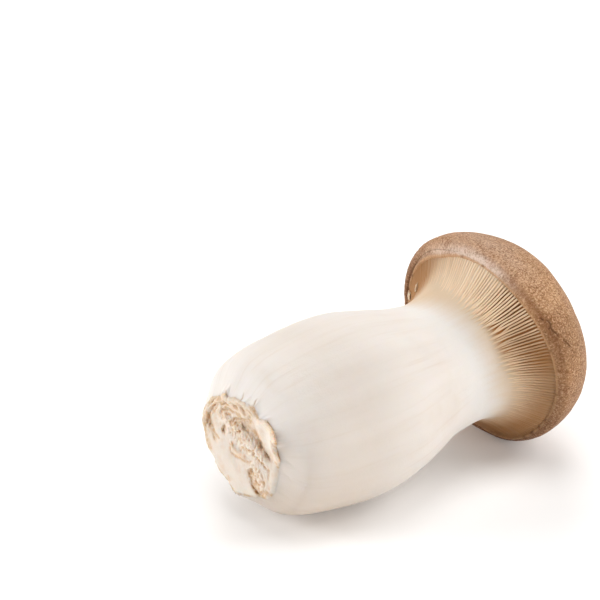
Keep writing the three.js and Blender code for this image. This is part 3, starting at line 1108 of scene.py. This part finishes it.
def torn_material():
    """Torn flesh: cream, and tan to brown where it has dried, and in its hollows partly as painted shade.
    """
    shader = Shader("torn_flesh", {**SOFT_FLESH, "Subsurface Weight": 0.6, "Subsurface Scale": 2.8 * MM})
    place = shader.place()
    tan = shader.stored("tan")
    brown = shader.stored("brown")
    crumbs = shader.noise(place, 0.9 * MM, 4, 0.65)
    colour = shader.mix(TORN_CREAM, TORN_TAN, tan * (crumbs.step(0.3, 0.65) * 0.6 + 0.4))
    colour = shader.mix(colour, TORN_BROWN, brown * crumbs.step(0.25, 0.6))
    return shader.finish(colour, crumbs * 0.2 + 0.6, crumbs, 0.12 * MM)


# --- The gills ------------------------------------------------------------------------------

# How fine the gills' guide is, and how many columns it goes on past a full turn.
GUIDE_COLUMNS = 360
GUIDE_ROWS = 46
GUIDE_OVERLAP = 8


def make_gill_guide():
    """The surface that the gills' edges lie in, with what the gills need to know there."""
    steps = np.arange(-GUIDE_OVERLAP, GUIDE_COLUMNS + GUIDE_OVERLAP + 1)
    angle = (steps / GUIDE_COLUMNS * 2 * math.pi)[None]
    share = np.linspace(0, 1, GUIDE_ROWS)[:, None]
    distance = -GILL_LENGTH + share * (GILL_LENGTH + np.maximum(-inroll(angle), 0))
    places = skin_at(distance, angle, 0)
    outward = (skin_at(distance, angle, 0.1) - places) / 0.1
    around = np.gradient(places, axis=1)
    around /= np.linalg.norm(around, axis=-1, keepdims=True)
    rows, columns = places.shape[:2]
    firsts = [row * columns + column for row in range(rows - 1) for column in range(columns - 1)]
    faces = [(first, first + 1, first + columns + 1, first + columns) for first in firsts]
    guide = make_object("gill_guide", laid(places).reshape(-1, 3), faces)
    store(guide, "outward", outward.reshape(-1, 3))
    store(guide, "around", around.reshape(-1, 3))
    out = 1 + distance / GILL_LENGTH
    store(guide, "depth", gill_depth(out, angle).ravel() * MM)
    store(guide, "ripe", ripened(out, angle).ravel())
    store(guide, "browned", browned(out, angle).ravel())
    store(guide, "paler", paler(out, angle).ravel())
    turn = np.broadcast_to(angle / (2 * math.pi), (rows, columns))
    where = np.stack([turn, np.broadcast_to(share, (rows, columns)), 0 * turn], axis=-1)
    store(guide, "where", where.reshape(-1, 3))
    return guide


# What takes a bar's shoulders, 0.95 to each side, to half a blade's thickness.
HALF_BAR = 0.526
# How far to the side a forked blade starts, and how much a blade's place varies, as
# shares of the step between blades.
FORK_REACH = 0.8
UNEVENNESS = 0.11
# The gills' inputs: lengths are in metres, and Wander is a share of a turn.
GILL_INPUTS = (
    ("Guide", "Object", None), ("Material", "Material", None), ("Seed", "Int", 3),
    ("Count", "Int", GILL_COUNT), ("Steps", "Int", 14),
    ("Neck Thickness", "Float", 0.72 * MM), ("Margin Thickness", "Float", 0.44 * MM),
    ("Crest", "Float", 0.14 * MM), ("Root", "Float", 0.3 * MM), ("Slump", "Float", 0.20 * MM),
    ("Wander", "Float", 0.0035))


class GillNodes(Nodes):
    """The gills' node tree, its named inputs, and the nodes that it uses most."""

    def __init__(self):
        super().__init__(bpy.data.node_groups.new("gills", "GeometryNodeTree"))
        sockets = self.tree.interface
        sockets.new_socket(name="Geometry", in_out="OUTPUT", socket_type="NodeSocketGeometry")
        for name, kind, value in GILL_INPUTS:
            socket = sockets.new_socket(name=name, in_out="INPUT", socket_type="NodeSocket" + kind)
            if value is not None:
                socket.default_value = value
        given = self.tree.nodes.new("NodeGroupInput")
        self.wanted = {socket.name: Value(self, socket) for socket in given.outputs if socket.name}
        self.blade = self.stored("blade")
        self.guide = self.add("GeometryNodeObjectInfo", {"transform_space": "ORIGINAL"},
                              {"Object": self.wanted["Guide"]}, output="Geometry")

    def stored(self, name, kind="FLOAT"):
        """What the mesh that is read there holds at each point."""
        return self.add("GeometryNodeInputNamedAttribute", {"data_type": kind}, {"Name": name})

    def store(self, geometry, name, value, domain="POINT"):
        """The geometry with a number kept under a name."""
        settings = {"data_type": "FLOAT", "domain": domain}
        inputs = {"Geometry": geometry, "Name": name, "Value": value}
        return self.add("GeometryNodeStoreNamedAttribute", settings, inputs)

    def chance(self, low, high, number):
        """A random value for each blade. Each use has a number of its own."""
        inputs = {"Min": low, "Max": high, "ID": self.blade, "Seed": self.wanted["Seed"] + number}
        return self.add("FunctionNodeRandomValue", {"data_type": "FLOAT"}, inputs, output="Value")

    def wave(self, first, second):
        """Smooth random values of about -0.5 to 0.5."""
        vector = self.add("ShaderNodeCombineXYZ", {}, {0: first, 1: second})
        return self.add("ShaderNodeTexNoise", {}, {"Vector": vector, "Scale": 1.0, "Detail": 1.0}) - 0.5

    def on_guide(self, where, value, kind="FLOAT_VECTOR"):
        """What the guide holds at a turn and a share of the gills' length."""
        inputs = {"Mesh": self.guide, "Value": value, "UV Map": self.stored("where", "FLOAT_VECTOR"),
                  "Sample UV": where}
        return self.add("GeometryNodeSampleUVSurface", {"data_type": kind}, inputs, output="Value")

    def scaled(self, vector, amount):
        """A vector times a number."""
        return self.add("ShaderNodeVectorMath", {"operation": "SCALE"}, {0: vector, "Scale": amount})

    def sum_of(self, first, second):
        """The sum of two vectors."""
        return self.add("ShaderNodeVectorMath", {"operation": "ADD"}, {0: first, 1: second})


def numbered_bars(nodes):
    """A five-sided bar for each blade, with the blade's number: it has a crest, two
    shoulders and two roots."""
    bar = nodes.add("GeometryNodeMeshCylinder", {"fill_type": "NGON"}, {
        "Vertices": 5, "Side Segments": nodes.wanted["Steps"], "Radius": 1.0, "Depth": 1.0}, output="Mesh")
    starts = nodes.add("GeometryNodePoints", {}, {"Count": nodes.wanted["Count"]})
    copies = nodes.add("GeometryNodeInstanceOnPoints", {}, {"Points": starts, "Instance": bar})
    numbered = nodes.store(copies, "blade", nodes.add("GeometryNodeInputIndex"), "INSTANCE")
    return nodes.add("GeometryNodeRealizeInstances", {}, {"Geometry": numbered})


def blade_course(nodes, short, outward):
    """How far round each point of a blade is, in turns, and how far out from the neck, as
    a share. A short blade starts as a tip between its neighbours, or forks off one."""
    blade = nodes.blade
    full_start = nodes.chance(0.0, 0.10, 0) + nodes.wave(blade * 0.11, 7.0) * 0.2
    start = full_start * (1 - short) + nodes.chance(0.06, 0.40, 1) * short
    start = nodes.add("ShaderNodeMath", {"operation": "MAXIMUM"}, {0: start, 1: 0.002})
    share = start + (1 - start) * outward
    pitch = 1 / nodes.wanted["Count"]
    forked = short * nodes.chance(0, 1, 5).step(0.45, 0.46)
    side = nodes.chance(-1, 1, 2).step(-0.01, 0.01) * 2 - 1
    fork = forked * side * (1 - outward.step(0.0, 0.4)) * pitch * FORK_REACH
    sway = nodes.wave(share * 1.6, blade * 0.37) + nodes.wave(share * 5.0, blade * 2.9) * 0.25
    uneven = nodes.chance(-UNEVENNESS, UNEVENNESS, 3)
    turn = (blade + 0.5 + uneven) * pitch + fork + sway * nodes.wanted["Wander"]
    return turn, share


def gill_tree():
    """Blades from the neck to the margin, of which every second one is short."""
    nodes = GillNodes()
    wanted = nodes.wanted
    result = numbered_bars(nodes)
    bar_place = nodes.add("GeometryNodeInputPosition")
    x, y, z = (nodes.add("ShaderNodeSeparateXYZ", {}, {0: bar_place}, output=k) for k in range(3))
    outward = z + 0.5
    crest = x.step(0.35, 0.95)
    rise = x.step(-0.75, 0.25)
    short = nodes.add("ShaderNodeMath", {"operation": "MODULO"}, {0: nodes.blade, 1: 2.0})
    turn, share = blade_course(nodes, short, outward)
    where = nodes.add("ShaderNodeCombineXYZ", {}, {0: turn, 1: share})

    # a blade thins away from the neck, its tip is lower and narrower, and its root flares
    tip = 1 - outward.step(0.0, 0.30)
    depth = nodes.on_guide(where, nodes.stored("depth"), "FLOAT")
    drop = ((1 - rise) * (depth + wanted["Root"]) + rise * (1 - crest) * wanted["Crest"]
            + tip * wanted["Slump"] * (short * 0.8 + 0.7))
    thinned = share.step(0.0, 0.55)
    thickness = wanted["Neck Thickness"] * (1 - thinned) + wanted["Margin Thickness"] * thinned
    flare = (1 - rise) * 1.5 + 1
    across = y * thickness * HALF_BAR * flare * (1 - tip * 0.6) * nodes.chance(0.85, 1.15, 6)

    edge = nodes.on_guide(where, nodes.add("GeometryNodeInputPosition"))
    around = nodes.on_guide(where, nodes.stored("around", "FLOAT_VECTOR"))
    off_bed = nodes.on_guide(where, nodes.stored("outward", "FLOAT_VECTOR"))
    place = nodes.sum_of(edge, nodes.sum_of(nodes.scaled(around, across), nodes.scaled(off_bed, drop * -1)))
    result = nodes.store(result, "rise", rise)
    result = nodes.store(result, "tone", nodes.chance(0, 1, 4))
    result = nodes.store(result, "hollow", depth / (GILL_DEPTH * MM))
    for name in ("ripe", "browned", "paler"):
        result = nodes.store(result, name, nodes.on_guide(where, nodes.stored(name), "FLOAT"))
    result = nodes.add("GeometryNodeSetPosition", {}, {"Geometry": result, "Position": place})
    result = nodes.add("GeometryNodeRealizeInstances", {}, {"Geometry": result})
    result = nodes.add("GeometryNodeSetMaterial", {}, {"Geometry": result, "Material": wanted["Material"]})
    nodes.tree.links.new(result.socket, nodes.tree.nodes.new("NodeGroupOutput").inputs[0])
    return nodes.tree


def make_gills():
    """The gills as one plain mesh, grown on the guide, which is then thrown away."""
    guide = make_gill_guide()
    host = make_object("gills_host", np.zeros((0, 3)), [])
    modifier = host.modifiers.new("gills", "NODES")
    modifier.node_group = gill_tree()
    wanted = {"Guide": guide, "Material": gill_material()}
    for item in modifier.node_group.interface.items_tree:
        if item.in_out == "INPUT" and item.name in wanted:
            modifier[item.identifier] = wanted[item.name]
    bpy.context.view_layer.update()
    evaluated = host.evaluated_get(bpy.context.evaluated_depsgraph_get())
    mesh = bpy.data.meshes.new_from_object(evaluated)
    host.modifiers.remove(modifier)
    for leftover in (guide, host):
        bpy.data.objects.remove(leftover)
    mesh.shade_smooth()
    gills = bpy.data.objects.new("gills", mesh)
    bpy.context.scene.collection.objects.link(gills)
    return gills


# --- Floor, lights and camera ----------------------------------------------------------------------

# The camera, in metres.
VIEW_AZIMUTH = math.radians(36.69)
VIEW_ELEVATION = math.radians(24.72)
VIEW_DISTANCE = 0.4671
VIEW_AIM = Vector((0.00544, 0.05405, 0.030))
VIEW_ANGLE = math.radians(22.0)

# Each soft box: how far to the camera's right, back and up, and its power in watts.
SOFT_BOXES = (("overhead", (0, 0, 1), 3.1), ("back", (0, 0.8, 0.6), 3.8), ("left", (-1, 0, 0.3), 7.2),
              ("right", (0.7, 0, 0.7), 3.6), ("front", (0.8, -0.7, 0.3), 4.6))
# The lamps' size, distance and aim in metres.
SOFT_BOX_SIZE = 0.6
SOFT_BOX_DISTANCE = 0.95
LAMPS_AIM_HEIGHT = 0.03
ROOM_STRENGTH = 0.2
ROOM_WHITE = rgb(1.0, 0.99, 0.98)
# The floor's width in mm, and what it gives off, so that shadows stay light.
FLOOR_WIDTH = 6000.0
FLOOR_WHITE = rgb(0.93, 0.925, 0.92)
FLOOR_GLOW = rgb(0.045, 0.038, 0.033)
FAR_FLOOR_GLOW = rgb(1.2, 1.2, 1.2)

TO_RIGHT = Vector((math.cos(VIEW_AZIMUTH), -math.sin(VIEW_AZIMUTH), 0))
TO_BACK = Vector((math.sin(VIEW_AZIMUTH), math.cos(VIEW_AZIMUTH), 0))
UPWARDS = Vector((0, 0, 1))


def look_at(thing, place, aim):
    """Puts a lamp or the camera at a place, and turns it to where it aims."""
    thing.location = place
    thing.rotation_euler = (aim - place).to_track_quat("-Z", "Y").to_euler()


def make_floor():
    """A pale floor, far wider than the view."""
    shader = Shader("floor", {"Base Color": FLOOR_WHITE, "Roughness": 0.9,
                              "Specular IOR Level": 0.1, "Emission Strength": 1.0})
    # far from the mushroom, where the lamps don't reach, it gives off its own light
    away = shader.add("ShaderNodeVectorMath", {"operation": "LENGTH"}, {0: shader.place()}, output="Value")
    unlit = away.step(0.6, 1.1) * (1 - away.step(1.6, 2.9))
    glow = shader.mix(FLOOR_GLOW, FAR_FLOOR_GLOW, unlit)
    shader.tree.links.new(glow.socket, shader.principled.inputs["Emission Color"])
    half = FLOOR_WIDTH / 2
    corners = np.array([(-half, -half, 0), (half, -half, 0), (half, half, 0), (-half, half, 0)])
    floor = make_object("floor", corners, [(0, 1, 2, 3)])
    floor.data.materials.append(shader.material)


def make_lights():
    """Big round soft boxes all round, the same distance away, and a dim white room."""
    middle = Vector((0, 0, LAMPS_AIM_HEIGHT))
    for name, (right, back, above), power in SOFT_BOXES:
        light = bpy.data.lights.new(name, "AREA")
        light.shape = "DISK"
        light.size = SOFT_BOX_SIZE
        light.energy = power
        lamp = bpy.data.objects.new(name, light)
        bpy.context.scene.collection.objects.link(lamp)
        towards = TO_RIGHT * right + TO_BACK * back + UPWARDS * above
        look_at(lamp, middle + towards.normalized() * SOFT_BOX_DISTANCE, middle)
    world = bpy.data.worlds.new("studio")
    world.use_nodes = True
    background = world.node_tree.nodes["Background"]
    background.inputs["Color"].default_value = ROOM_WHITE
    background.inputs["Strength"].default_value = ROOM_STRENGTH
    bpy.context.scene.world = world


def make_camera():
    """The camera, to the front and above."""
    camera = bpy.data.cameras.new("camera")
    camera.sensor_fit = "HORIZONTAL"
    camera.angle = VIEW_ANGLE
    camera.clip_start = 0.01
    holder = bpy.data.objects.new("camera", camera)
    bpy.context.scene.collection.objects.link(holder)
    level = TO_BACK * math.cos(VIEW_ELEVATION) - UPWARDS * math.sin(VIEW_ELEVATION)
    look_at(holder, VIEW_AIM - level * VIEW_DISTANCE, VIEW_AIM)
    bpy.context.scene.camera = holder


def finish_piece(piece, material):
    """Gives a piece its material and its slot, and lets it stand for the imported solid."""
    if material:
        piece.data.materials.append(material)
    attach(piece, BODY)
    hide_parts(NODE)


bpy.context.scene.view_settings.view_transform = "Standard"
make_camera()
make_lights()
make_floor()
face = torn_face()
flesh = flesh_material()
finish_piece(make_stem(face), flesh)
for number, crumb in enumerate(CRUMBS, start=1):
    finish_piece(make_crumb(number, *crumb), flesh)
finish_piece(make_cap(), skin_material())
finish_piece(make_gills(), None)
finish_piece(make_cut_end(face), torn_material())
